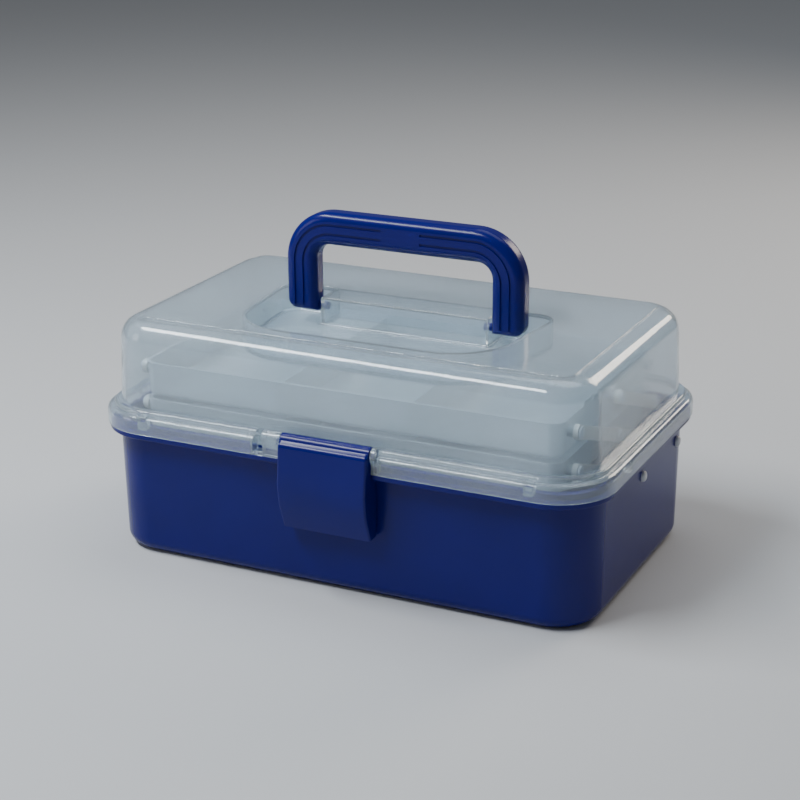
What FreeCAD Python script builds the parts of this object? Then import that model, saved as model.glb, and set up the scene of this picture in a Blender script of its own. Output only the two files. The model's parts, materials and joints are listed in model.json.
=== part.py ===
import FreeCAD, Part
import math
import os
import re
import Sketcher

# Sewing box with a hinged lid, a folding handle and two cantilever trays, in millimetres.
# X runs along the box, Y points to its rear and Z up.  The origin is the centre of the underside.
# A formula is a piece of text in which each name is a cell of the sheet.

SIZES = {
    # base tub
    "base_length": 314.6, "base_depth": 184.6, "base_height": 84.5, "base_draft": 0.88,
    "base_corner": 28.8, "base_wall": 2.2, "bottom_round": 8, "ledge_round": 1.2,
    # ledge that runs round the tub under the lid's rim
    "ledge_inset": 1.2, "ledge_low": 77.5, "ledge_thick": 3.6, "rim_gap": 0.3,
    # lid rim
    "lid_length": 330, "lid_depth": 204, "rim_height": 13.7, "rim_corner": 36, "rim_round": 4,
    "step_rise": 2.5, "step_inset": 4.5, "step_round": 1.8,
    # lid wall and top
    "wall_length": 312, "wall_depth": 186, "wall_corner": 27, "wall_draft": 2.3, "wall_height": 51.9,
    "top_round": 13, "lid_thick": 1.8, "panel_length": 281, "panel_depth": 155, "panel_step": 1,
    "panel_corner": 8, "panel_round": 0.8, "clip_width": 5.5, "front_clip_x": 125, "side_clip_y": 42,
    # handle recess in the lid's top, wider at the rear
    "recess_rear": 25.5, "recess_front": 66.5, "recess_rear_half": 92.2, "recess_front_half": 82.5,
    "recess_depth": 17.5, "recess_rear_corner": 10, "recess_front_corner": 38, "recess_round": 2,
    "land_half": 56.4, "land_front": 3.2,
    # handle
    "grip_half": 79.5, "grip_inner_half": 58.8, "grip_thick": 16, "grip_bar": 20.7, "grip_reach": 61,
    "grip_corner": 32, "grip_inner_corner": 9.5, "grip_edge": 5.5, "grip_foot": 6.5,
    "grip_pivot_y": 7.5, "grip_pivot_drop": 6, "grip_heel": 3, "grip_pin": 5, "grip_pin_length": 6,
    "groove_first": 7.5, "groove_step": 5.8, "groove_width": 1.5, "groove_depth": 0.8,
    "groove_end_x": 13, "groove_end_rise": 4,
    # latch
    "latch_half": 28.8, "latch_drop": 53, "latch_pivot_y": 99, "latch_pivot_drop": 2.6,
    "latch_barrel": 4.8, "latch_bulge": 10, "latch_back": 4.7, "latch_plate": 2.2, "latch_side": 2,
    "latch_gap": 0.8, "brow_reach": 2.6, "brow_drop": 0.4, "brow_round": 3.4, "trunnion": 4,
    "trunnion_length": 2.6, "catch_half": 24.5, "catch_reach": 97,
    "catch_high": 75, "catch_thick": 3, "latch_edge": 1.6,
    # padlock slot, left of the latch
    "lock_outer": 47.9, "lug_round": 4.7, "lock_inner": 41, "lock_hole_rim": 1,
    "lock_hole_front": 99.9, "lock_hole_rear": 95.6, "lock_flange": 2.2, "lug_gap": 1, "bay_thick": 1.4,
    # hinge
    "hinge_y": 107, "hinge_z": 80, "hinge_x": 85, "hinge_radius": 3.8, "knuckle_half": 12,
    "knuckle_gap": 0.4, "hinge_half": 23, "hinge_pin": 2.5,
    # trays
    "tray_length": 270, "tray_front": 77, "tray_rear": 71, "tray_height": 21.5, "tray_corner": 8, "tray_draft": 1,
    "tray_wall": 1.6, "tray_y": -2, "tray_z": 75.5, "tray_lip": 1, "lip_height": 1.6,
    "divider_x": 42.5, "divider_thick": 1.5, "divider_drop": 2, "boss_drop": 7.5, "tray_foot": 3,
    # cantilever: each stage is stage_reach forward and stage_rise up from the one below
    "stage_reach": 64, "stage_rise": 23.5, "arm_inner": 139, "arm_thick": 3, "arm_half": 4,
    "arm_eye": 9, "boss_diameter": 7, "boss_gap": 0.4, "rib_half": 5, "rib_gap": 0.6,
    # snap pins
    "pin": 4, "pin_clear": 0.15, "pin_head": 6.8, "dome_thick": 2.2, "dome_round": 1.9,
    "head_thick": 1.2, "tip_diameter": 5.4,
    "tip_length": 1.3, "tray_pin_head": 7,
}

# Derived levels and half sizes, as formulas.
RIM_LOW = "(ledge_low + ledge_thick + rim_gap)"
RIM_TOP = f"({RIM_LOW} + rim_height)"
SHELF = f"({RIM_TOP} - step_rise)"
SKIN_TOP = f"({RIM_TOP} + wall_height)"
LID_TOP = f"({SKIN_TOP} + panel_step)"
RECESS_FLOOR = f"({LID_TOP} - recess_depth)"
GRIP_PIVOT_Z = f"({LID_TOP} - grip_pivot_drop)"
LATCH_PIVOT_Z = f"({RIM_TOP} - latch_pivot_drop)"
WALL_Y = "(base_depth / 2 + 1.5)"
REAR_PIVOT_Y = "(tray_y + stage_reach)"
BASE_PIVOT_Z = "(tray_z + tray_height - boss_drop - stage_rise)"
ARM_OUTER = "(arm_inner + arm_thick)"
STAGE_LENGTH = "sqrt(stage_reach * stage_reach + stage_rise * stage_rise)"
SIDES = {"left": -1, "right": 1}

document = FreeCAD.newDocument("sewing_box")
sheet = document.addObject("Spreadsheet::Sheet", "Sizes")
for row, (alias, number) in enumerate(SIZES.items(), start=1):
    sheet.set(f"A{row}", alias)
    sheet.set(f"B{row}", str(number))
    sheet.setAlias(f"B{row}", alias)
document.recompute()
sub_parts = []


def formula(text):
    """The text as a FreeCAD expression, with each cell's name led by the sheet's name."""
    return re.sub(r"[a-z]\w*", lambda word: "Sizes." + word[0] if word[0] in SIZES else word[0], text)


def value(text):
    """The number that a formula comes to."""
    result = sheet.evalExpression(formula(text).replace("Sizes.", ""))
    return float(getattr(result, "Value", result))


def new_body(label):
    body = document.addObject("PartDesign::Body", label)
    body.Label = label
    sub_parts.append(body)
    return body


def new_sketch(body, name, plane, level):
    """An empty sketch at a level along the normal of one of the body's own planes."""
    sketch = body.newObject("Sketcher::SketchObject", name)
    support = next(item for item in body.Origin.OriginFeatures if item.Role == plane)
    sketch.AttachmentSupport = [(support, "")]
    sketch.MapMode = "FlatFace"
    sketch.setExpression("AttachmentOffset.Base.z", formula(level))
    return sketch


def hold(sketch, kind, references, text):
    """A driving constraint whose value is a formula."""
    number = sketch.addConstraint(Sketcher.Constraint(kind, *references, value(text)))
    sketch.setExpression(f"Constraints[{number}]", formula(text))


def polygon(body, name, plane, level, corners):
    """A closed outline, each corner held by its two distances from the origin."""
    sketch = new_sketch(body, name, plane, level)
    points = [FreeCAD.Vector(value(across), value(along), 0) for across, along in corners]
    for index, point in enumerate(points):
        sketch.addGeometry(Part.LineSegment(point, points[(index + 1) % len(points)]), False)
    for index, (across, along) in enumerate(corners):
        following = (index + 1) % len(corners)
        sketch.addConstraint(Sketcher.Constraint("Coincident", index, 2, following, 1))
        hold(sketch, "DistanceX", (-1, 1, index, 1), across)
        hold(sketch, "DistanceY", (-1, 1, index, 1), along)
    return sketch


def arc_loop(sketch, arcs):
    """Add a closed outline of tangent arcs and lines.

    Each arc has formulas for its centre and radius and two angles in radians, anticlockwise.
    """
    first = sketch.GeometryCount
    ends = []
    for x_text, y_text, corner, start, end in arcs:
        middle = FreeCAD.Vector(value(x_text), value(y_text), 0)
        radius = value(corner)
        round_part = Part.Circle(middle, FreeCAD.Vector(0, 0, 1), radius)
        arc = sketch.addGeometry(Part.ArcOfCircle(round_part, start, end), False)
        hold(sketch, "DistanceX", (-1, 1, arc, 3), x_text)
        hold(sketch, "DistanceY", (-1, 1, arc, 3), y_text)
        hold(sketch, "Radius", (arc,), corner)
        ends.append([middle + FreeCAD.Vector(math.cos(angle), math.sin(angle), 0) * radius
                     for angle in (start, end)])
    for index in range(len(arcs)):
        following = (index + 1) % len(arcs)
        line = sketch.addGeometry(Part.LineSegment(ends[index][1], ends[following][0]), False)
        sketch.addConstraint(Sketcher.Constraint("Tangent", first + index, 2, line, 1))
        sketch.addConstraint(Sketcher.Constraint("Tangent", line, 2, first + following, 1))


def rounded_loop(sketch, x_span, y_span, corner):
    """Add a rectangle with round corners to a sketch."""
    arcs = []
    for quarter, (across, along) in enumerate(((1, 1), (0, 1), (0, 0), (1, 0))):
        x_text = f"{x_span[across]} + ({1 - 2 * across}) * ({corner})"
        y_text = f"{y_span[along]} + ({1 - 2 * along}) * ({corner})"
        start = quarter * math.pi / 2
        arcs.append((x_text, y_text, corner, start, start + math.pi / 2))
    arc_loop(sketch, arcs)


def circle(body, name, plane, level, across, along, diameter):
    sketch = new_sketch(body, name, plane, level)
    centre = FreeCAD.Vector(value(across), value(along), 0)
    sketch.addGeometry(Part.Circle(centre, FreeCAD.Vector(0, 0, 1), value(diameter) / 2), False)
    hold(sketch, "DistanceX", (-1, 1, 0, 3), across)
    hold(sketch, "DistanceY", (-1, 1, 0, 3), along)
    hold(sketch, "Diameter", (0,), diameter)
    return sketch


def extrude(body, sketch, length, cut=False, taper=None):
    """Pad the sketch along its normal, or cut the same shape away."""
    before = body.Shape.Volume if body.Tip and body.Shape.Solids else 0
    kind = "Pocket" if cut else "Pad"
    feature = body.newObject(f"PartDesign::{kind}", f"{sketch.Name}_{kind}")
    feature.Profile = sketch
    feature.setExpression("Length", formula(length))
    if cut:
        feature.Reversed = True
    if taper:
        feature.setExpression("TaperAngle", formula(taper))
    sketch.Visibility = False
    document.recompute()
    change = body.Shape.Volume - before
    if (change >= 0) if cut else (change <= 0):
        raise RuntimeError(f"{body.Label}: {sketch.Name} changes nothing")
    return feature


def block(body, name, x_span, y_span, z_span, cut=False, taper=None, corner=None):
    """A box between three pairs of formulas; a taper leans its four sides outward going up."""
    (left, right), (front, rear), (low, high) = x_span, y_span, z_span
    if corner:
        sketch = new_sketch(body, name, "XY_Plane", low)
        rounded_loop(sketch, x_span, y_span, corner)
    else:
        corners = [(left, front), (right, front), (right, rear), (left, rear)]
        sketch = polygon(body, name, "XY_Plane", low, corners)
    return extrude(body, sketch, f"({high}) - ({low})", cut, taper)


def rod(body, name, centre, diameter, x_span, cut=False):
    """A round bar or hole along X, about a (y, z) pair of formulas."""
    sketch = circle(body, name, "YZ_Plane", x_span[0], centre[0], centre[1], diameter)
    return extrude(body, sketch, f"({x_span[1]}) - ({x_span[0]})", cut)


def profile(body, name, x_span, corners, cut=False):
    """A prism along X with an outline of (y, z) corners."""
    sketch = polygon(body, name, "YZ_Plane", x_span[0], corners)
    return extrude(body, sketch, f"({x_span[1]}) - ({x_span[0]})", cut)


def fillet(body, name, radius, choose):
    """Round every edge of the body that choose accepts."""
    names = [f"Edge{index}" for index, edge in enumerate(body.Shape.Edges, start=1) if choose(edge)]
    if not names:
        raise RuntimeError(f"{body.Label}: no edge for {name}")
    feature = body.newObject("PartDesign::Fillet", name)
    feature.Base = (body.Tip if body.Tip != feature else feature.BaseFeature, names)
    feature.setExpression("Radius", formula(radius))
    document.recompute()
    return feature


def shell(body, name, wall, level):
    """Hollow the body to one wall, open at its flat face at one level."""
    faces = [f"Face{index}" for index, face in enumerate(body.Shape.Faces, start=1)
             if level_at(face, level)]
    before = body.Tip
    volume = body.Shape.Volume
    feature = body.newObject("PartDesign::Thickness", name)
    feature.Base = (before, faces)
    feature.setExpression("Value", formula(wall))
    feature.Reversed = True
    document.recompute()
    if body.Shape.Volume >= volume:
        raise RuntimeError(f"{body.Label}: {name} grew the body")


def level_at(edge, level):
    """True for an edge or a face that lies at one level."""
    box = edge.BoundBox
    return abs(box.ZMin - level) < 0.05 and abs(box.ZMax - level) < 0.05


def outermost(edge, length="base_length", depth="base_depth"):
    """True for an edge that reaches past the straight sides of the tub, or of the lid's wall."""
    box = edge.BoundBox
    far_x, far_y = max(-box.XMin, box.XMax), max(-box.YMin, box.YMax)
    return far_x > value(f"{length} / 2 + 3") or far_y > value(f"{depth} / 2 + 3")


def mirrored(inner, outer, side):
    """The X span between two distances from the middle, on one side."""
    return (inner, outer) if side > 0 else (f"-({outer})", f"-({inner})")


def centred(half):
    return (f"-({half})", half)


def base_tub():
    body = new_body("base_tub")
    block(body, "tub", centred("base_length / 2"), centred("base_depth / 2"),
          ("0", "base_height"), taper="base_draft", corner="base_corner")
    fillet(body, "tub_bottom", "bottom_round", lambda edge: level_at(edge, 0))
    slope = "(bottom_round - base_wall)"
    block(body, "hollow_foot", centred(f"base_length / 2 - base_wall - {slope}"),
          centred(f"base_depth / 2 - base_wall - {slope}"), ("base_wall", "bottom_round"), cut=True,
          taper="45", corner=f"base_corner - base_wall - {slope}")
    block(body, "hollow", centred("base_length / 2 - base_wall"), centred("base_depth / 2 - base_wall"),
          ("bottom_round", "base_height + 1"), cut=True, taper="base_draft",
          corner="base_corner - base_wall")
    ledge = new_sketch(body, "ledge", "XY_Plane", "ledge_low")
    rounded_loop(ledge, centred("lid_length / 2 - ledge_inset"), centred("lid_depth / 2 - ledge_inset"),
                 "rim_corner - ledge_inset")
    rounded_loop(ledge, centred("base_length / 2"), centred("base_depth / 2"), "base_corner")
    extrude(body, ledge, "ledge_thick")
    fillet(body, "ledge_edge", "ledge_round",
           lambda edge: level_at(edge, value("ledge_low")) and outermost(edge))
    base_pivot_supports(body)
    base_front_details(body)
    for label, side in SIDES.items():
        hinge_x = f"{side} * hinge_x"
        span = (f"{hinge_x} - knuckle_half", f"{hinge_x} + knuckle_half")
        block(body, f"{label}_knuckle_web", span, (WALL_Y + " - 1", "hinge_y"),
              ("hinge_z - hinge_radius", "hinge_z"))
        rod(body, f"{label}_knuckle", ("hinge_y", "hinge_z"), "2 * hinge_radius", span)
        rod(body, f"{label}_knuckle_bore", ("hinge_y", "hinge_z"), "hinge_pin", span, cut=True)


def base_pivot_supports(body):
    """Ribs on the end walls that carry the cantilever's lower pins."""
    for label, side in SIDES.items():
        for place, centre in (("front", "tray_y"), ("rear", REAR_PIVOT_Y)):
            span = mirrored(f"{ARM_OUTER} + rib_gap", "base_length / 2 - base_wall / 2", side)
            block(body, f"{label}_{place}_rib", span, (f"{centre} - rib_half", f"{centre} + rib_half"),
                  ("bottom_round", f"{BASE_PIVOT_Z} + rib_half"))
            bore = mirrored(ARM_OUTER, "base_length / 2 + 3", side)
            rod(body, f"{label}_{place}_bore", (centre, BASE_PIVOT_Z), "pin", bore, cut=True)


def base_front_details(body):
    """The catch rail, the gap in the ledge behind the latch and the padlock slot."""
    block(body, "latch_gap_in_ledge", centred("latch_half + latch_gap"),
          ("-(lid_depth / 2)", f"-({WALL_Y})"), ("ledge_low - 1", "base_height"), cut=True)
    block(body, "catch_rail", centred("catch_half"), ("-catch_reach", f"-({WALL_Y} - 1.5)"),
          ("catch_high - catch_thick", "catch_high"))
    block(body, "padlock_slot", ("-(lock_outer - lock_hole_rim)", "-(lock_inner + lock_hole_rim)"),
          ("-lock_hole_front", "-lock_hole_rear"), ("ledge_low - 1", "base_height"), cut=True)


def lid_shell():
    body = new_body("lid_shell")
    shelf, top, skin_top = value(SHELF), value(RIM_TOP), value(SKIN_TOP)
    block(body, "rim", centred("lid_length / 2"), centred("lid_depth / 2"), (RIM_LOW, SHELF),
          corner="rim_corner")
    fillet(body, "rim_shoulder", "rim_round", lambda edge: level_at(edge, shelf))
    block(body, "wall", centred("wall_length / 2"), centred("wall_depth / 2"), (SHELF, SKIN_TOP),
          taper="-wall_draft", corner="wall_corner")
    fillet(body, "top_edge", "top_round", lambda edge: level_at(edge, skin_top))
    shell(body, "lid_hollow", "lid_thick", value(RIM_LOW))
    block(body, "step", centred("lid_length / 2 - step_inset"), centred("lid_depth / 2 - step_inset"),
          (f"{SHELF} - lid_thick / 2", RIM_TOP), corner="rim_corner - step_inset")
    block(body, "step_hollow", centred("wall_length / 2 - lid_thick - 0.3"),
          centred("wall_depth / 2 - lid_thick - 0.3"), (f"{SHELF} - lid_thick", f"{RIM_TOP} + 0.2"),
          cut=True, corner="wall_corner - lid_thick")
    fillet(body, "step_shoulder", "step_round",
           lambda edge: level_at(edge, top) and outermost(edge, "wall_length", "wall_depth"))
    block(body, "panel", centred("panel_length / 2"), centred("panel_depth / 2"),
          (f"{SKIN_TOP} - lid_thick / 2", LID_TOP), corner="panel_corner")
    handle_recess(body)
    lid_front_details(body)
    lid_clips(body)
    lid_knuckles(body)


def recess_outline(body, name, grow, low, high, cut):
    """The recess in plan, wider at its rear and grown by a wall, as a cup or a cut."""
    rear, front = f"(recess_rear + {grow})", f"(recess_front + {grow})"
    rear_half, front_half = f"(recess_rear_half + {grow})", f"(recess_front_half + {grow})"
    depth, flare = f"({rear} + {front})", f"({rear_half} - {front_half})"
    lean = f"(sqrt({depth} * {depth} + {flare} * {flare}) / {depth})"
    tilt = math.atan(value(flare) / value(depth))

    def corner(radius, y_text, side, start, end):
        across = f"({front_half} + ({y_text} + {front}) * {flare} / {depth} - {radius} * {lean})"
        return f"{side} * {across}", y_text, radius, start, end
    rear_round, front_round = f"(recess_rear_corner + {grow})", f"(recess_front_corner + {grow})"
    rear_y, front_y = f"({rear} - {rear_round})", f"({front_round} - {front})"
    quarter = math.pi / 2
    sketch = new_sketch(body, name, "XY_Plane", low)
    arc_loop(sketch, [corner(rear_round, rear_y, 1, -tilt, quarter),
                      corner(rear_round, rear_y, -1, quarter, 2 * quarter + tilt),
                      corner(front_round, front_y, -1, 2 * quarter + tilt, 3 * quarter),
                      corner(front_round, front_y, 1, 3 * quarter, 4 * quarter - tilt)])
    extrude(body, sketch, f"{high} - {low}", cut)


def handle_recess(body):
    """A cup sunk into the top, with a hollow land between the handle's two legs."""
    under = f"({RECESS_FLOOR} - lid_thick)"
    recess_outline(body, "cup", "lid_thick", under, f"({SKIN_TOP} - lid_thick / 2)", cut=False)
    recess_outline(body, "recess", "0", RECESS_FLOOR, f"({LID_TOP} + 1)", cut=True)
    block(body, "land", centred("land_half"), ("land_front", "recess_rear + lid_thick"),
          (under, LID_TOP))
    block(body, "land_hollow", centred("land_half - lid_thick"),
          ("land_front + lid_thick", "recess_rear"), (under, f"{LID_TOP} - lid_thick"), cut=True)
    fillet(body, "recess_floor_edge", "recess_round", lambda edge: level_at(edge, value(RECESS_FLOOR)))
    fillet(body, "top_edges", "panel_round", lambda edge: level_at(edge, value(LID_TOP)))
    rod(body, "handle_bore", ("grip_pivot_y", GRIP_PIVOT_Z), "grip_pin + pin_clear",
        centred("land_half + 0.1"), cut=True)


def rim_plug(body, name, x_span):
    """Fill the rim's hollow over a length of the front, where the rim ends at a gap."""
    front, back = "lid_depth / 2 - lid_thick / 2", f"{WALL_Y} + lug_gap"
    bend = "lid_depth / 2 - rim_round"
    reach = "(rim_round - lid_thick / 2)"
    corners = [(f"-({front})", RIM_LOW), (f"-({front})", f"{SHELF} - rim_round"),
               (f"-({bend} + 0.7 * {reach})", f"{SHELF} - rim_round + 0.7 * {reach}"),
               (f"-({bend})", f"{SHELF} - rim_round + {reach}"),
               ("-(lid_depth / 2 - step_inset - step_round)", f"{SHELF} - rim_round + {reach}"),
               (f"-({back})", f"{RIM_TOP} - 1"), (f"-({back})", RIM_LOW)]
    profile(body, name, x_span, corners)


def lid_front_details(body):
    """The latch's bay with its trunnion holes, and the padlock slot beside it."""
    bay = "latch_half + latch_gap"
    front, back = "-(lid_depth / 2 + 1)", f"-({WALL_Y} + 0.2)"
    high = f"{RIM_TOP} + 0.5"
    block(body, "latch_bay", centred(bay), (front, back), (f"{RIM_LOW} - 1", high), cut=True)
    block(body, "bay_wall", ("-(lock_outer + lid_thick)", f"{bay} + lid_thick"),
          (f"-({WALL_Y} + 0.1)", f"-({WALL_Y} - bay_thick)"), (f"{RIM_LOW} + lock_flange + 1.4", RIM_TOP))
    flange = f"{RIM_LOW} + lock_flange"
    block(body, "lock_bay", ("-lock_outer", "-lock_inner"), (front, back), (flange, high), cut=True)
    block(body, "lock_flange", ("-lock_outer", "-lock_inner"),
          ("-(lid_depth / 2 - lid_thick / 2)", f"-({WALL_Y} + lug_gap)"), (RIM_LOW, flange))
    rim_plug(body, "latch_lug", ("-lock_inner", f"-({bay})"))
    rim_plug(body, "left_rim_end", ("-(lock_outer + lid_thick)", "-lock_outer"))
    rim_plug(body, "right_rim_end", (bay, f"{bay} + trunnion_length + 0.6"))
    for name, span in (("latch_ear", ("-lock_inner", f"-({bay})")),
                       ("right_ear", (bay, f"{bay} + trunnion_length + 0.6"))):
        rod(body, name, ("-latch_pivot_y", LATCH_PIVOT_Z), "2 * lug_round", span)
    block(body, "lock_hole", ("-(lock_outer - lock_hole_rim)", "-(lock_inner + lock_hole_rim)"),
          ("-lock_hole_front", "-lock_hole_rear"), (RIM_LOW, high), cut=True)
    rod(body, "trunnion_bore", ("-latch_pivot_y", LATCH_PIVOT_Z), "trunnion + pin_clear",
        centred("latch_half + trunnion_length + 0.6"), cut=True)


def lid_clips(body):
    """Small webs inside the rim's hollow that stiffen it."""
    low = f"{RIM_LOW} + 3"
    for label, side in SIDES.items():
        middle = f"{side} * front_clip_x"
        block(body, f"{label}_front_clip", (f"{middle} - clip_width / 2", f"{middle} + clip_width / 2"),
              ("-(lid_depth / 2 - rim_round / 2)", f"-({WALL_Y} + 1)"),
              (low, f"{SHELF} - lid_thick / 2 - 0.5"))
        block(body, f"{label}_clip_lump",
              (f"{middle} - clip_width / 2 - 0.8", f"{middle} + clip_width / 2 + 0.8"),
              ("-(lid_depth / 2 - rim_round / 4)", "-(lid_depth / 2 - step_inset - 1)"),
              (f"{SHELF} - rim_round / 2", f"{SHELF} + 0.8"))
        block(body, f"{label}_side_clip", mirrored("base_length / 2 + 3", "lid_length / 2 - 1", side),
              ("-(side_clip_y + clip_width / 2)", "-(side_clip_y - clip_width / 2)"),
              (low, f"{SHELF} - rim_round + 1"))


def lid_knuckles(body):
    """Two knuckles either side of each knuckle of the base."""
    for label, side in SIDES.items():
        for place, way in (("outer", side), ("inner", -side)):
            near, far = f"{side} * hinge_x + {way} * (knuckle_half + knuckle_gap)", \
                f"{side} * hinge_x + {way} * hinge_half"
            span = (near, far) if way > 0 else (far, near)
            name = f"{label}_{place}_knuckle"
            block(body, f"{name}_web", span, ("lid_depth / 2 - lid_thick / 2", "hinge_y"),
                  (RIM_LOW, "hinge_z + hinge_radius"))
            rod(body, name, ("hinge_y", "hinge_z"), "2 * hinge_radius", span)
            rod(body, f"{name}_bore", ("hinge_y", "hinge_z"), "hinge_pin + pin_clear", span, cut=True)


def carry_handle():
    body = new_body("carry_handle")
    low, high = f"({GRIP_PIVOT_Z} - grip_heel)", f"({GRIP_PIVOT_Z} + grip_reach)"
    back = "grip_pivot_y + grip_thick / 2"
    outer = [("-grip_half", low), ("grip_half", low), ("grip_half", high), ("-grip_half", high)]
    extrude(body, polygon(body, "grip", "XZ_Plane", f"-({back})", outer), "grip_thick")
    under = f"({high} - grip_bar)"
    corners = [("-grip_inner_half", f"{low} - 1"), ("grip_inner_half", f"{low} - 1"),
               ("grip_inner_half", under), ("-grip_inner_half", under)]
    extrude(body, polygon(body, "opening", "XZ_Plane", f"-({back})", corners), "grip_thick", cut=True)

    def across(edge, level):
        box = edge.BoundBox
        return box.YLength > 0.9 * edge.Length and abs(box.Center.z - level) < 0.05
    fillet(body, "grip_corners", "grip_corner", lambda edge: across(edge, value(high)))
    fillet(body, "grip_feet", "grip_foot", lambda edge: across(edge, value(low))
           and abs(edge.BoundBox.Center.x) > value("grip_half") - 0.1)
    fillet(body, "opening_corners", "grip_inner_corner", lambda edge: across(edge, value(under)))
    fillet(body, "grip_edges", "grip_edge",
           lambda edge: edge.BoundBox.YLength < 0.01 and edge.BoundBox.ZMax > value(low) + 0.1)
    for label, side in SIDES.items():
        span = mirrored("grip_inner_half - grip_pin_length", "grip_inner_half + 1", side)
        rod(body, f"{label}_pivot", ("grip_pivot_y", GRIP_PIVOT_Z), "grip_pin", span)
    front = "grip_pivot_y - grip_thick / 2"
    for face, level in (("rear", f"-({back})"), ("front", f"-({front} + groove_depth)")):
        for number in range(2):
            for label, side in SIDES.items():
                sketch = new_sketch(body, f"{face}_{label}_groove_{number}", "XZ_Plane", level)
                groove_loop(sketch, f"(groove_first + {number} * groove_step)", side, low, high)
                extrude(body, sketch, "groove_depth", cut=True)


def groove_loop(sketch, inset, side, low, high):
    """Outline of one groove: up a leg, round the corner and along the bar to its middle."""
    centre_x, centre_z = "(grip_half - grip_corner)", f"({high} - grip_corner)"
    outer, inner = f"({inset} - groove_width / 2)", f"({inset} + groove_width / 2)"
    foot = f"({low} + groove_end_rise)"
    points = [(f"grip_half - {outer}", foot), (f"grip_half - {outer}", centre_z),
              (centre_x, f"{high} - {outer}"), ("groove_end_x", f"{high} - {outer}"),
              ("groove_end_x", f"{high} - {inner}"), (centre_x, f"{high} - {inner}"),
              (f"grip_half - {inner}", centre_z), (f"grip_half - {inner}", foot)]
    points = [(f"{side} * ({across})", along) for across, along in points]
    places = [FreeCAD.Vector(value(across), value(along), 0) for across, along in points]
    lines = {}
    for start in (0, 2, 3, 4, 6, 7):
        end = (start + 1) % len(points)
        lines[start] = sketch.addGeometry(Part.LineSegment(places[start], places[end]), False)
        hold(sketch, "DistanceX", (-1, 1, lines[start], 2), points[end][0])
        hold(sketch, "DistanceY", (-1, 1, lines[start], 2), points[end][1])
    for before, after in ((2, 3), (3, 4), (6, 7), (7, 0)):
        sketch.addConstraint(Sketcher.Constraint("Coincident", lines[before], 2, lines[after], 1))
    for start in (2, 6):
        hold(sketch, "DistanceX", (-1, 1, lines[start], 1), points[start][0])
        hold(sketch, "DistanceY", (-1, 1, lines[start], 1), points[start][1])
    centre = FreeCAD.Vector(side * value(centre_x), value(centre_z), 0)
    for leg_end, leg_place, bar_end, bar_place, inset_text in (
            (lines[0], 2, lines[2], 1, outer), (lines[6], 1, lines[4], 2, inner)):
        circle_part = Part.Circle(centre, FreeCAD.Vector(0, 0, 1), value(f"grip_corner - {inset_text}"))
        quarter = math.pi / 2
        turn = (0, quarter) if side > 0 else (quarter, 2 * quarter)
        arc = sketch.addGeometry(Part.ArcOfCircle(circle_part, *turn), False)
        leg, bar = (1, 2) if side > 0 else (2, 1)
        sketch.addConstraint(Sketcher.Constraint("Coincident", arc, leg, leg_end, leg_place))
        sketch.addConstraint(Sketcher.Constraint("Coincident", arc, bar, bar_end, bar_place))
        hold(sketch, "Radius", (arc,), f"grip_corner - {inset_text}")


def front_latch():
    """A hollow cover with a barrel at its top, a hook inside and a trunnion at each end."""
    body = new_body("front_latch")
    low = f"({LATCH_PIVOT_Z} - latch_drop)"
    front = "(latch_pivot_y + latch_barrel)"
    bulge = "(latch_pivot_y + latch_bulge)"
    back = "(latch_pivot_y - latch_back)"
    brow_low = value(f"{LATCH_PIVOT_Z} - brow_drop")
    corners = [("-latch_pivot_y", f"{LATCH_PIVOT_Z} + latch_barrel"),
               (f"-({front} + brow_reach)", f"{LATCH_PIVOT_Z} - brow_drop"),
               (f"-({bulge} - 1.2)", f"{LATCH_PIVOT_Z} - 0.27 * latch_drop"),
               (f"-{bulge}", f"{LATCH_PIVOT_Z} - 0.46 * latch_drop"),
               (f"-({bulge} - 1.5)", f"{LATCH_PIVOT_Z} - 0.7 * latch_drop"),
               (f"-({bulge} - 7.5)", low), (f"-({back} + 1.5)", low), (f"-{back}", f"{low} + 3"),
               (f"-{back}", LATCH_PIVOT_Z)]
    profile(body, "cover", centred("latch_half"), corners)
    fillet(body, "brow", "brow_round",
           lambda edge: level_at(edge, brow_low) and edge.BoundBox.YMax < -value(front))
    rod(body, "barrel", ("-latch_pivot_y", LATCH_PIVOT_Z), "2 * latch_barrel", centred("latch_half"))
    fillet(body, "cover_edges", "latch_edge", lambda edge: edge.BoundBox.XLength < 0.01
           and edge.BoundBox.YMin < -value(f"{bulge} - 9") and edge.BoundBox.ZMax < value(LATCH_PIVOT_Z))
    inner = [(f"-({front} - latch_plate)", f"{LATCH_PIVOT_Z} - latch_barrel - 1"),
             (f"-({bulge} - 1.2 - latch_plate)", f"{LATCH_PIVOT_Z} - 0.27 * latch_drop"),
             (f"-({bulge} - latch_plate)", f"{LATCH_PIVOT_Z} - 0.46 * latch_drop"),
             (f"-({bulge} - 1.5 - latch_plate)", f"{LATCH_PIVOT_Z} - 0.7 * latch_drop"),
             (f"-({bulge} - 6 - latch_plate)", f"{low} + latch_plate"),
             (f"-({back} - 1)", f"{low} + latch_plate"),
             (f"-({back} - 1)", f"{LATCH_PIVOT_Z} - latch_barrel - 1")]
    profile(body, "cover_hollow", centred("latch_half - latch_side"), inner, cut=True)
    hook_high = "catch_high - catch_thick - 0.5"
    block(body, "hook", centred("catch_half"), (f"-({bulge} - latch_plate)", f"-(catch_reach + rim_gap)"),
          (f"{hook_high} - catch_thick", hook_high))
    for label, side in SIDES.items():
        span = mirrored("latch_half - latch_side", "latch_half + trunnion_length", side)
        rod(body, f"{label}_trunnion", ("-latch_pivot_y", LATCH_PIVOT_Z), "trunnion", span)


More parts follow.
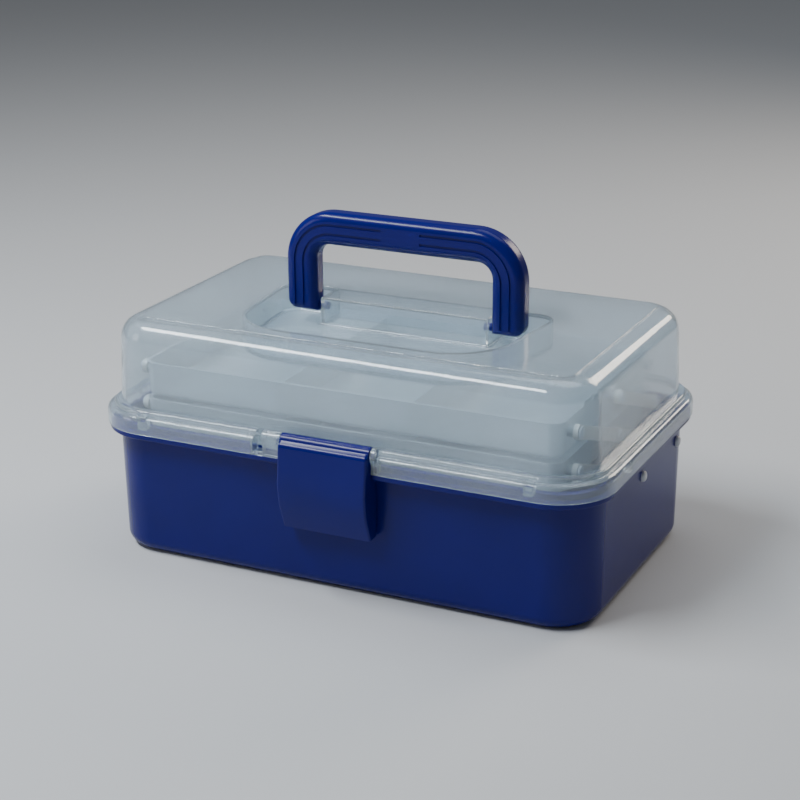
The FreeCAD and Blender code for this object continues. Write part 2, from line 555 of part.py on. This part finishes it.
def tray(label, stage):
    """One tray moulding; the upper one is the same, a stage further up."""
    body = new_body(label)
    low = f"(tray_z + {stage} * (stage_rise))"
    high = f"({low} + tray_height)"
    front, rear = "tray_y - tray_front", "tray_y + tray_rear"
    block(body, "shell", centred("tray_length / 2"), (front, rear), (low, high), taper="tray_draft",
          corner="tray_corner")
    lip = f"({high} - lip_height)"
    block(body, "lip", centred("tray_length / 2 + tray_lip"), (f"{front} - tray_lip", f"{rear} + tray_lip"),
          (lip, high), corner="tray_corner + tray_lip")
    fillet(body, "shell_bottom", "tray_foot", lambda edge: level_at(edge, value(low)))
    block(body, "hollow", centred("tray_length / 2 - tray_wall"),
          (f"{front} + tray_wall", f"{rear} - tray_wall"), (f"{low} + tray_wall", high), cut=True,
          taper="tray_draft", corner="tray_corner - tray_wall")
    fillet(body, "hollow_bottom", "tray_foot - tray_wall",
           lambda edge: level_at(edge, value(f"{low} + tray_wall")))
    for side_label, side in SIDES.items():
        middle = f"{side} * divider_x"
        block(body, f"{side_label}_divider",
              (f"{middle} - divider_thick / 2", f"{middle} + divider_thick / 2"),
              (f"{front} + tray_wall / 2", f"{rear} - tray_wall / 2"),
              (f"{low} + tray_wall / 2", f"{high} - divider_drop"))
        for place, step in (("front", -1), ("middle", 0), ("rear", 1)):
            centre = (f"tray_y + {step} * stage_reach", f"{high} - boss_drop")
            rod(body, f"{side_label}_{place}_boss", centre, "boss_diameter",
                mirrored("tray_length / 2 - tray_wall / 2", "arm_inner - boss_gap", side))
            rod(body, f"{side_label}_{place}_bore", centre, "pin",
                mirrored("tray_length / 2 - 2 * tray_wall", "arm_inner", side), cut=True)


def arm(label, side, stages, y, z):
    """A flat arm with an eye at each stage, made along -Y and tilted into its place."""
    body = new_body(label)
    span = mirrored("arm_inner", ARM_OUTER, side)
    length = f"{stages} * {STAGE_LENGTH}"
    profile(body, "bar", span, [(f"-{length}", "-arm_half"), ("0", "-arm_half"), ("0", "arm_half"),
                                (f"-{length}", "arm_half")])
    for number in range(stages + 1):
        centre = (f"-{number} * {STAGE_LENGTH}", "0")
        rod(body, f"eye_{number}", centre, "arm_eye", span)
        rod(body, f"eye_bore_{number}", centre, "pin + pin_clear", span, cut=True)
    body.Placement = FreeCAD.Placement(FreeCAD.Vector(), FreeCAD.Rotation(FreeCAD.Vector(1, 0, 0), -1))
    body.setExpression("Placement.Base.y", formula(y))
    body.setExpression("Placement.Base.z", formula(z))
    body.setExpression("Placement.Rotation.Angle", formula("-atan(stage_rise / stage_reach)"))


def pin(label, centre, x_span, head_span, head, tip_span=None):
    """A snap pin along X: a shank, a head and, at the tub, a domed head and a wider tip."""
    body = new_body(label)
    rod(body, "shank", centre, "pin", x_span)
    rod(body, "head", centre, head, head_span)
    if tip_span:
        far = max(abs(value(text)) for text in head_span)
        fillet(body, "dome", "dome_round",
               lambda edge: abs(edge.BoundBox.Center.x) > far - 0.05 and edge.BoundBox.XLength < 0.01)
        rod(body, "tip", centre, "tip_diameter", tip_span)


def cantilever():
    """The arms and the pins of both ends."""
    lower_z = f"({BASE_PIVOT_Z} + stage_rise)"
    upper_z = f"({lower_z} + stage_rise)"
    front_y = "(tray_y - stage_reach)"
    for label, side in SIDES.items():
        arm(f"long_arm_{label}", side, 2, REAR_PIVOT_Y, BASE_PIVOT_Z)
        arm(f"lower_short_arm_{label}", side, 1, "tray_y", BASE_PIVOT_Z)
        arm(f"upper_short_arm_{label}", side, 1, REAR_PIVOT_Y, lower_z)
        wall = f"(base_length / 2 + {BASE_PIVOT_Z} * tan(base_draft))"
        tip = "(arm_inner - 0.3)"
        for place, y in (("front", "tray_y"), ("rear", REAR_PIVOT_Y)):
            pin(f"base_pin_{label}_{place}", (y, BASE_PIVOT_Z),
                mirrored(f"{tip} - tip_length", f"{wall} + head_thick / 2", side),
                mirrored(f"{wall} + 0.05", f"{wall} + dome_thick", side), "pin_head",
                mirrored(f"{tip} - tip_length", tip, side))
        tray_pins = (("lower", "front", front_y, lower_z), ("lower", "middle", "tray_y", lower_z),
                     ("lower", "rear", REAR_PIVOT_Y, lower_z), ("upper", "front", front_y, upper_z),
                     ("upper", "middle", "tray_y", upper_z))
        for level, place, y, z in tray_pins:
            head_low = f"({ARM_OUTER} + 0.3)"
            pin(f"{level}_tray_pin_{label}_{place}", (y, z),
                mirrored("tray_length / 2 - tray_wall", f"{head_low} + head_thick", side),
                mirrored(head_low, f"{head_low} + head_thick", side), "tray_pin_head")


def hinge_pins():
    for label, side in SIDES.items():
        body = new_body(f"hinge_pin_{label}")
        rod(body, "wire", ("hinge_y", "hinge_z"), "hinge_pin",
            (f"{side} * hinge_x - hinge_half", f"{side} * hinge_x + hinge_half"))


def check_all():
    """Stop if any object failed or any sub-part's shape is empty or not one valid solid."""
    document.recompute()
    for item in document.Objects:
        if "Invalid" in item.State or "Error" in item.State:
            raise RuntimeError(f"{item.Label}: {item.State}")
    for item in sub_parts:
        if item.Shape.isNull() or not item.Shape.isValid() or len(item.Shape.Solids) != 1:
            raise RuntimeError(f"{item.Label}: {len(item.Shape.Solids)} solids")


base_tub()
lid_shell()
carry_handle()
front_latch()
tray("lower_tray", 0)
tray("upper_tray", 1)
cantilever()
hinge_pins()
check_all()
os.makedirs("parts", exist_ok=True)
for item in sub_parts:
    item.Shape.exportStep(f"parts/{item.Label}.step")
    print(item.Label, round(item.Shape.Volume / 1000, 2), "cm3")
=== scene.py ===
# %% [markdown]
# # A plastic sewing box with a clear lid
# The box has a deep blue tub, a hazy clear lid, a folding handle, a front latch and two milky
# trays on arms.  The engineering model already has every size and joint.  Here each moulding
# gets a finished surface and material, and a plain studio shows them.

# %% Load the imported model
import json
import math

import bmesh
import bpy
from mathutils import Matrix, Vector

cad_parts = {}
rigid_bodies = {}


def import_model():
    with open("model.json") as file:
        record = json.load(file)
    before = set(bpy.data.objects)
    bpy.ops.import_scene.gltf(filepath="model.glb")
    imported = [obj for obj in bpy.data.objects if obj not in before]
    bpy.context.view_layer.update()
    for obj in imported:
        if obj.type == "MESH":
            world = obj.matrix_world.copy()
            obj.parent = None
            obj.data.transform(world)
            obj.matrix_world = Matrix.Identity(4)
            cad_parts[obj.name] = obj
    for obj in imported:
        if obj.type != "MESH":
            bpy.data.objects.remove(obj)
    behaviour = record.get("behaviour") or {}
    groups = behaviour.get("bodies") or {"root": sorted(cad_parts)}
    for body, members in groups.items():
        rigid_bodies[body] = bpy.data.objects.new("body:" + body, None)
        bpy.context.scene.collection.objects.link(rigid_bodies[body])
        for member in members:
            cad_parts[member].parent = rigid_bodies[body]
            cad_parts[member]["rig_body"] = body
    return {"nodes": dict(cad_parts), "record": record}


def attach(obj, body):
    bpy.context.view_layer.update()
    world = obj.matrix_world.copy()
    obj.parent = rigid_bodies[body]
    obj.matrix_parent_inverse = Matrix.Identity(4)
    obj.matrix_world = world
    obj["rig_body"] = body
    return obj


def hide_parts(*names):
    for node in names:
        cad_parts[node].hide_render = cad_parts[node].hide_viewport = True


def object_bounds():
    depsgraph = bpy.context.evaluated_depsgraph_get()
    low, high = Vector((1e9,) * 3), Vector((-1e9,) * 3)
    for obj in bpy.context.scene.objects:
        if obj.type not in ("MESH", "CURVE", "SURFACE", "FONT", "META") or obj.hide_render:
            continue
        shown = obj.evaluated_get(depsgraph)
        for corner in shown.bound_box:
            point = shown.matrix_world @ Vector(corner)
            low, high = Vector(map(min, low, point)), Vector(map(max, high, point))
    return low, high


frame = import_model()
cad_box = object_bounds()
MM = 0.001

# %% [markdown]
# ## The camera
# A product picture of a small box is taken with a long lens from about a metre, a little above
# and to the right of the front.  A long lens keeps the box's parallel edges nearly parallel.

# %% Camera
AIM = Vector((0.0, 0.0, 0.075))
AZIMUTH = math.radians(25.74)
ELEVATION = math.radians(20.21)
ROLL = math.radians(-0.42)
DISTANCE = 1.195
SENSOR = 36.0
FOCAL_WIDTHS = 2.404  # the focal length, counted in sensor widths
LENS_SHIFT = (-0.0018, 0.0276)

camera_data = bpy.data.cameras.new("camera")
camera_data.sensor_width = SENSOR
camera_data.lens = SENSOR * FOCAL_WIDTHS
camera_data.shift_x, camera_data.shift_y = LENS_SHIFT
camera_data.clip_start = 0.05
camera = bpy.data.objects.new("camera", camera_data)
bpy.context.scene.collection.objects.link(camera)
backward = Vector((math.sin(AZIMUTH) * math.cos(ELEVATION),
                   -math.cos(AZIMUTH) * math.cos(ELEVATION), math.sin(ELEVATION)))
camera.matrix_world = (Matrix.Translation(AIM + backward * DISTANCE)
                       @ backward.to_track_quat("Z", "Y").to_matrix().to_4x4()
                       @ Matrix.Rotation(ROLL, 4, "Z"))
bpy.context.scene.camera = camera
print("camera at", [round(value, 3) for value in camera.location])

# %% [markdown]
# ## Light and floor
# Glossy plastic is drawn mostly by what it mirrors.  A long narrow lamp high over the front edge
# leaves the white streaks along the rounded edges of the lid.  A broad weak one overhead shows the
# top, a third at the left lights the front, and a warm one behind glows through the clear plastic.
# A weak pale sky fills the rest.  The floor lies just under the box, so that they don't touch.

# %% Lamps, sky and floor
WHITE = (1.0, 1.0, 1.0)
COOL = (0.93, 0.97, 1.0)
WARM = (1.0, 0.88, 0.74)
SKY_COLOUR = (0.78, 0.81, 0.86, 1.0)
SKY_STRENGTH = 0.2
FLOOR_HALF_WIDTH = 6.0
FLOOR_GAP = 0.5 * MM


def soft_lamp(name, place, target, size, watts, tint):
    """A rectangular lamp that faces a point; its size is width and height in metres."""
    data = bpy.data.lights.new(name, "AREA")
    data.shape = "RECTANGLE"
    data.size, data.size_y = size
    data.energy = watts
    data.color = tint
    lamp = bpy.data.objects.new(name, data)
    bpy.context.scene.collection.objects.link(lamp)
    facing = (Vector(place) - Vector(target)).to_track_quat("Z", "Y")
    lamp.matrix_world = Matrix.Translation(Vector(place)) @ facing.to_matrix().to_4x4()
    return lamp


soft_lamp("long_strip", (-0.55, -0.47, 1.13), (0, -0.05, 0.1), (1.0, 0.18), 19.0, COOL)
soft_lamp("overhead", (0.1, 0.35, 1.3), (0, 0, 0.1), (1.0, 0.7), 4.5, COOL)
soft_lamp("left_front", (-1.2, -0.9, 0.5), (0, 0, 0.08), (0.5, 0.7), 3.0, WHITE)
soft_lamp("warm_rear", (0.55, 1.15, 0.75), (0, 0, 0.1), (0.5, 0.5), 7.0, WARM)

world = bpy.data.worlds.new("sky")
world.use_nodes = True
sky = world.node_tree.nodes["Background"]
sky.inputs["Color"].default_value = SKY_COLOUR
sky.inputs["Strength"].default_value = SKY_STRENGTH
bpy.context.scene.world = world

floor_mesh = bmesh.new()
bmesh.ops.create_grid(floor_mesh, x_segments=1, y_segments=1, size=FLOOR_HALF_WIDTH)
floor_data = bpy.data.meshes.new("floor")
floor_mesh.to_mesh(floor_data)
floor_mesh.free()
floor = bpy.data.objects.new("floor", floor_data)
bpy.context.scene.collection.objects.link(floor)
floor_level = cad_box[0].z - FLOOR_GAP
floor.data.transform(Matrix.Translation((0, 0, floor_level)))
print("floor at", round(floor_level / MM, 2), "mm")


# %% [markdown]
# ## Helpers for materials
# Colours are given as a painter's hex numbers.  Shaders work in linear light, so one function
# converts them, and one more adds any node with its settings and links.  Every moulding gets the
# same kind of skin: a slow ripple left by the mould, and fine specks that change its polish.

# %% Material helpers
PLASTIC_IOR = 1.49
RIPPLE_STRENGTH = 0.35
SPECK_BAND = (0.3, 0.75)  # the span of the speck noise that the roughness is spread over


def linear(hex_colour):
    """The linear colour of an sRGB hex number such as '#c6c8cb'."""
    channels = [int(hex_colour[start:start + 2], 16) / 255 for start in (1, 3, 5)]
    return [c / 12.92 if c <= 0.04045 else ((c + 0.055) / 1.055) ** 2.4 for c in channels] + [1.0]


def add_node(material, kind, settings=None, values=None, links=None):
    """Add a node, set its properties and socket values, and link outputs into its sockets."""
    tree = material.node_tree
    node = tree.nodes.new(kind)
    for name, setting in (settings or {}).items():
        setattr(node, name, setting)
    for socket, value in (values or {}).items():
        node.inputs[socket].default_value = value
    for socket, source in (links or {}).items():
        tree.links.new(source, node.inputs[socket])
    return node


def new_material(name):
    """An empty material and its output node."""
    material = bpy.data.materials.new(name)
    material.use_nodes = True
    material.node_tree.nodes.clear()
    return material, add_node(material, "ShaderNodeOutputMaterial")


def object_place(material):
    """The point on the piece, in metres, so that a pattern keeps its real size."""
    return add_node(material, "ShaderNodeTexCoord").outputs["Object"]


def cloud_noise(material, place, spot_mm, detail):
    """Soft noise whose spots are about so many millimetres wide."""
    noise = add_node(material, "ShaderNodeTexNoise", links={"Vector": place},
                     values={"Scale": 1 / (spot_mm * MM), "Detail": detail})
    return noise.outputs["Fac"]


def mould_ripple(material, place, ripple_mm, height_mm):
    """A slow ripple as a bump, as injection moulding leaves on a flat wall."""
    bump = add_node(material, "ShaderNodeBump",
                    values={"Strength": RIPPLE_STRENGTH, "Distance": height_mm * MM},
                    links={"Height": cloud_noise(material, place, ripple_mm, 2.0)})
    return bump.outputs["Normal"]


def rubbed_polish(material, place, speck_mm, smoothest, roughest):
    """Roughness that changes in fine specks, as handling leaves on a polished face."""
    specks = add_node(material, "ShaderNodeTexNoise", links={"Vector": place},
                      values={"Scale": 1 / (speck_mm * MM), "Detail": 6.0, "Roughness": 0.65})
    polish = add_node(material, "ShaderNodeMapRange", links={"Value": specks.outputs["Fac"]},
                      values={"From Min": SPECK_BAND[0], "From Max": SPECK_BAND[1],
                              "To Min": smoothest, "To Max": roughest})
    return polish.outputs["Result"]


def plastic(material, values, links):
    """The principled shader, with the named constant and textured sockets."""
    skin = add_node(material, "ShaderNodeBsdfPrincipled", values=values, links=links)
    return skin.outputs["BSDF"]


def show(material, output, surface):
    """Join a finished shader to the output, and hand the material back."""
    material.node_tree.links.new(surface, output.inputs["Surface"])
    return material


# %% [markdown]
# ## The deep blue tub, handle and latch
# These are injection-moulded polypropylene with a polished finish.  The pigment is strong, so the
# body colour is a dark cobalt, and the skin mirrors lamps in soft-edged streaks.  Rubbing dulls it
# in faint specks, which comes from noise on the roughness.


# %% Blue polypropylene
def blue_polypropylene():
    """Strongly pigmented blue plastic, a little uneven in tone, for the tub, handle and latch."""
    material, output = new_material("blue_polypropylene")
    place = object_place(material)
    tone = add_node(material, "ShaderNodeMix", {"data_type": "RGBA"},
                    links={"Factor": cloud_noise(material, place, 45, 3.0)})
    darker, lighter = 6, 7  # the two colour sockets of a mix node
    tone.inputs[darker].default_value = linear("#090b5e")
    tone.inputs[lighter].default_value = linear("#0c0f70")
    return show(material, output, plastic(
        material, {"IOR": PLASTIC_IOR, "Specular IOR Level": 0.25},
        {"Base Color": tone.outputs[2], "Roughness": rubbed_polish(material, place, 1.2, 0.2, 0.26),
         "Normal": mould_ripple(material, place, 14.0, 0.10)}))


# %% [markdown]
# ## The clear lid, trays and arms
# Natural polypropylene has no pigment.  Thin walls let most light through but scatter some of it,
# so whatever is inside shows with a milky veil over it.  A part of the shader is white
# scattering and the rest is rough glass.  Rays from lamps pass as through a clear pane, so that
# the inside of the box is lit.


# %% Natural polypropylene
def natural_polypropylene(name, tint, haze_low, haze_high, roughness, lamp_light):
    """Clear plastic; haze is the share of white scattering, from thin patches to cloudy ones."""
    material, output = new_material(name)
    place = object_place(material)
    clear = add_node(material, "ShaderNodeMapRange",
                     values={"From Min": 0.3, "From Max": 0.7,
                             "To Min": 1 - haze_low, "To Max": 1 - haze_high},
                     links={"Value": cloud_noise(material, place, 60, 3.0)})
    skin = plastic(material, {"Base Color": linear(tint), "IOR": PLASTIC_IOR},
                   {"Transmission Weight": clear.outputs["Result"],
                    "Roughness": rubbed_polish(material, place, 4.0, roughness, roughness + 0.08),
                    "Normal": mould_ripple(material, place, 7.0, 0.1)})
    pane = add_node(material, "ShaderNodeBsdfTransparent", values={"Color": linear(lamp_light)})
    rays = add_node(material, "ShaderNodeLightPath")
    both = add_node(material, "ShaderNodeMixShader", links={"Fac": rays.outputs["Is Shadow Ray"]})
    material.node_tree.links.new(skin, both.inputs[1])
    material.node_tree.links.new(pane.outputs["BSDF"], both.inputs[2])
    return show(material, output, both.outputs["Shader"])


# %% [markdown]
# ## The small parts and the floor
# The snap pins are cloudy natural nylon, nearly opaque and slightly grey, so their heads show as
# dull pale dots.  The hinge pins are drawn steel wire, whose fine lengthwise lines stretch every
# highlight along the wire.  The floor is matt paper, which takes soft shadows and no reflections.


# %% Nylon, steel and paper
def natural_nylon():
    """Cloudy nylon for the snap pins."""
    material, output = new_material("natural_nylon")
    return show(material, output, plastic(
        material, {"Base Color": linear("#c9cdd3"), "Roughness": 0.42, "IOR": 1.53},
        {"Normal": mould_ripple(material, object_place(material), 3.0, 0.05)}))


def drawn_steel_wire():
    """Bright wire with fine lines along it, for the hinge pins."""
    material, output = new_material("drawn_steel_wire")
    stretch = add_node(material, "ShaderNodeMapping", values={"Scale": (20.0, 3000.0, 3000.0)},
                       links={"Vector": object_place(material)})
    lines = add_node(material, "ShaderNodeTexNoise", values={"Scale": 1.0},
                     links={"Vector": stretch.outputs["Vector"]})
    rough = add_node(material, "ShaderNodeMapRange", values={"To Min": 0.22, "To Max": 0.4},
                     links={"Value": lines.outputs["Fac"]})
    return show(material, output, plastic(
        material, {"Base Color": linear("#b9bbbe"), "Metallic": 1.0},
        {"Roughness": rough.outputs["Result"]}))


def studio_paper():
    """Matt pale paper for the floor."""
    material, output = new_material("studio_paper")
    return show(material, output, plastic(
        material, {"Base Color": linear("#c6c8cb"), "Roughness": 0.9}, {}))


# %% [markdown]
# ## One finish for each material of the model
# The three clear plastics differ only in haze: the lid is clearest, the trays are milky, and the
# thick arms are almost white.

# %% Finishes
FINISHES = {
    "blue_shell": blue_polypropylene(),
    "clear_lid": natural_polypropylene("clear_polypropylene", "#dfe9f0", 0.10, 0.16, 0.04,
                                       "#c8d0d6"),
    "tray_plastic": natural_polypropylene("milky_polypropylene", "#e9eef0", 0.35, 0.45, 0.12,
                                          "#b4b8bb"),
    "arm_plastic": natural_polypropylene("arm_polypropylene", "#f3f1ea", 0.7, 0.85, 0.2,
                                         "#a8acb0"),
    "pin_plastic": natural_nylon(),
    "steel": drawn_steel_wire(),
}
floor.data.materials.append(studio_paper())
print("finishes:", sorted(FINISHES))


# %% [markdown]
# ## Smooth mouldings
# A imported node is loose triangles, which would show as flat facets on glossy plastic.  A copy with
# its points merged can be shaded smoothly, with only the real corners left sharp.  Weighted
# normals keep the large flat walls flat beside their rounded edges.  The bottom edge of the lid's
# rim is rounded a little as well, so that it catches a thin line of light.


# %% Smooth copies of the mouldings
SHARP = math.radians(32)
MERGE = 0.002 * MM  # points closer than this are one point
EDGE_ROUND = 0.45 * MM
RIM_EDGE = 81.4 * MM  # the height of the bottom edge of the lid's rim
ON_LEVEL = 0.01 * MM


def smooth_moulding(node, edge_level=None):
    """A merged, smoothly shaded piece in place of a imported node, its edges rounded at one level."""
    source = frame["nodes"][node]
    mesh = bmesh.new()
    mesh.from_mesh(source.data)
    bmesh.ops.remove_doubles(mesh, verts=mesh.verts, dist=MERGE)
    bmesh.ops.dissolve_degenerate(mesh, edges=mesh.edges, dist=MERGE)
    rims = [edge for edge in mesh.edges if len(edge.link_faces) == 2 and edge_level is not None
            and all(abs(end.co.z - edge_level) < ON_LEVEL for end in edge.verts)
            and edge.calc_face_angle_signed(0.0) > SHARP]
    if rims:
        bmesh.ops.bevel(mesh, geom=rims, offset=EDGE_ROUND, offset_type="OFFSET", segments=3,
                        profile=0.5, affect="EDGES", clamp_overlap=True, material=-1)
        print(node, "rounds", len(rims), "edges")
    for face in mesh.faces:
        face.smooth = True
        face.material_index = 0
    for edge in mesh.edges:
        edge.smooth = len(edge.link_faces) == 2 and edge.calc_face_angle(0.0) < SHARP
    data = bpy.data.meshes.new(f"{node}_moulding")
    mesh.to_mesh(data)
    mesh.free()
    piece = bpy.data.objects.new(f"{node}_moulding", data)
    bpy.context.scene.collection.objects.link(piece)
    weighted = piece.modifiers.new("flat_walls", "WEIGHTED_NORMAL")
    weighted.keep_sharp = True
    slot = next(part["material_slot"] for part in frame["record"]["subparts"]
                if part["node"] == node)
    data.materials.append(FINISHES[slot])
    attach(piece, source["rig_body"])
    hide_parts(node)
    return piece


mouldings = {node: smooth_moulding(node, RIM_EDGE if node == "lid_shell" else None)
             for node in sorted(frame["nodes"])}
faces = sum(len(piece.data.polygons) for piece in mouldings.values())
print(len(mouldings), "mouldings,", faces, "faces")
